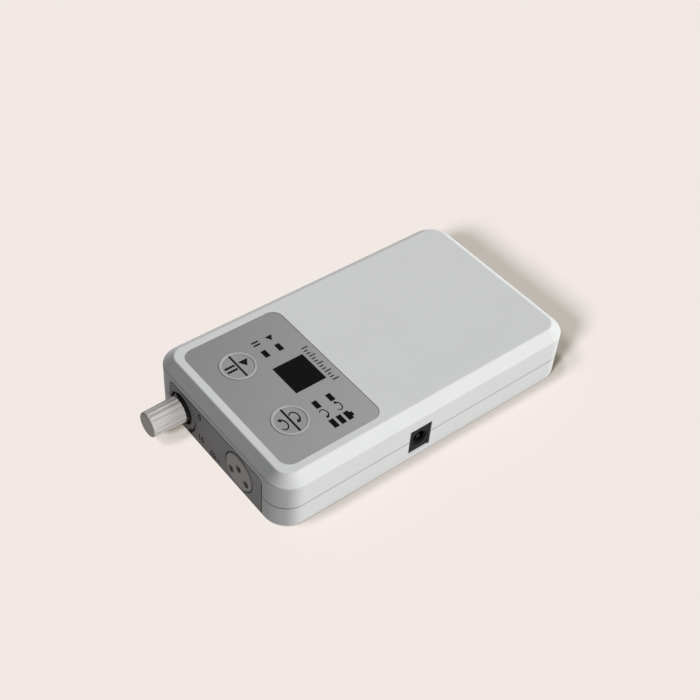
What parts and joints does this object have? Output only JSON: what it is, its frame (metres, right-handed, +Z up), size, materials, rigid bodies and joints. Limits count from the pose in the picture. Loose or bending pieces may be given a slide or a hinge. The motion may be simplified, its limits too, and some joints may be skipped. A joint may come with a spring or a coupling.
{
  "type": "nail drill control unit",
  "caption": "Flat battery control unit for a nail drill: two-part housing with a top bevel, a fluted speed knob, a handpiece socket, round keys, a display window and a charging jack.",
  "frame": {"origin": "centre of the underside, on the plane the unit rests on", "axes": "+X towards the charging jack's side, +Y towards the plain rear end, +Z up; the knob and the socket face -Y"},
  "size_m": [0.076, 0.1449, 0.0227],
  "materials": {
    "shell_plastic": "light warm grey ABS, fine matt texture",
    "panel_plastic": "mid-grey satin plastic",
    "overlay_film": "mid-grey satin film",
    "window_black": "smoked acrylic",
    "key_plastic": "mid-grey satin",
    "knob_plastic": "light warm grey, satin",
    "black_plastic": "black moulded",
    "socket_insulator": "grey thermoplastic",
    "screw_steel": "zinc plated",
    "black_steel": "black nickel",
    "contact_brass": "gold plated",
    "board_green": "green solder mask",
    "chip_black": "moulded epoxy",
    "white_plastic": "ivory nylon",
    "capacitor_sleeve": "shrink sleeve",
    "inductor_ferrite": "ferrite",
    "cell_wrap": "blue shrink wrap over a steel can",
    "nickel": "nickel strip",
    "foam": "closed-cell foam",
    "wire_jacket": "silicone jackets, red, black and white"
  },
  "bodies": {
    "housing": {"lower_shell": "shell_plastic", "upper_shell": "shell_plastic", "front_panel": "panel_plastic", "control_overlay": "overlay_film", "display_window": "window_black", "indicator_lenses": "window_black", "gauge_lenses": "window_black", "housing_screws": "screw_steel", "speed_potentiometer": "black_plastic", "potentiometer_washer": "black_steel", "potentiometer_nut": "black_steel", "motor_socket": "socket_insulator", "socket_contacts": "contact_brass", "socket_screws": "screw_steel", "socket_leads": "wire_jacket", "dc_jack": "black_plastic", "dc_jack_pin": "nickel", "dc_jack_spring": "nickel", "play_pause_switch": "chip_black", "direction_switch": "chip_black", "display_board": "board_green", "display_board_screws": "screw_steel", "digit_display": "black_plastic", "indicator_leds": "white_plastic", "gauge_leds": "white_plastic", "controller_chip": "chip_black", "board_header": "black_plastic", "power_board": "board_green", "driver_transistors": "chip_black", "filter_capacitor": "capacitor_sleeve", "boost_inductor": "inductor_ferrite", "battery_connector": "white_plastic", "left_cell": "cell_wrap", "right_cell": "cell_wrap", "nickel_strips": "nickel", "protection_board": "board_green", "battery_leads": "wire_jacket", "foam_pads": "foam"},
    "speed_control": {"speed_knob": "knob_plastic", "potentiometer_shaft": "screw_steel"},
    "play_pause": {"play_pause_key": "key_plastic", "play_pause_plunger": "chip_black"},
    "direction": {"direction_key": "key_plastic", "direction_plunger": "chip_black"}
  },
  "joints": [
    {"name": "speed_turn", "type": "hinge", "parent": "housing", "child": "speed_control", "pos_m": [-0.0205, -0.066, 0.00915], "axis": [0, 1, 0], "range_deg": [0, 300]},
    {"name": "play_pause_press", "type": "slide", "parent": "housing", "child": "play_pause", "axis": [0, 0, -1], "range_m": [0, 0.0003], "stiffness_N_per_m": 800},
    {"name": "direction_press", "type": "slide", "parent": "housing", "child": "direction", "axis": [0, 0, -1], "range_m": [0, 0.0003], "stiffness_N_per_m": 800}
  ]
}
